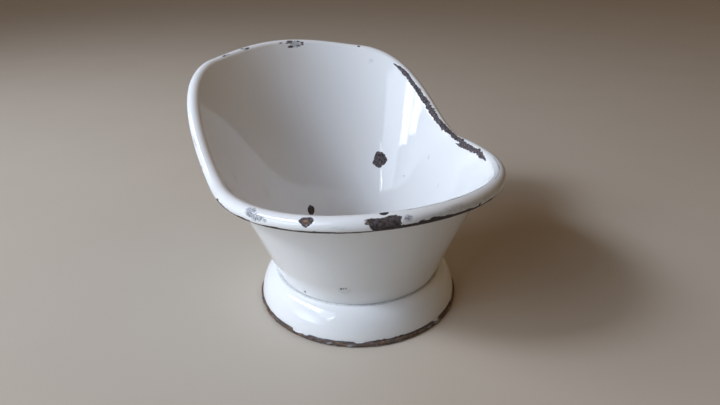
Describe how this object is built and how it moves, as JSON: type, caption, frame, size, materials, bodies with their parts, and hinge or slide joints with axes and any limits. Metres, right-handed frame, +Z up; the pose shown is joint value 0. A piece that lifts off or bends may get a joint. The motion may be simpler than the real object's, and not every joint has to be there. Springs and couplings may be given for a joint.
{
  "type": "sitz bath",
  "caption": "Free-standing sitz bath: flared round bowl with a raised back, low front, hollow rolled rim and spun round foot.",
  "frame": {"origin": "centre of the whole part's box in X and Y, on the ground under the foot", "axes": "+Z up, +Y towards the raised back, -Y towards the low front, +X to the side"},
  "size_m": [0.5104, 0.6039, 0.4304],
  "materials": {
    "bowl_enamel": "glossy white vitreous enamel, chipped",
    "floor_enamel": "glossy white vitreous enamel, dulled by wear",
    "rim_enamel": "glossy white vitreous enamel, chipped to dark ground coat",
    "foot_enamel": "glossy white vitreous enamel, worn to rusty steel on the bead",
    "wire_steel": "rusty steel wire"
  },
  "bodies": {
    "root": {"bowl_wall": "bowl_enamel", "bowl_floor": "floor_enamel", "rolled_rim": "rim_enamel", "foot_ring": "foot_enamel", "foot_wire": "wire_steel"}
  },
  "joints": []
}
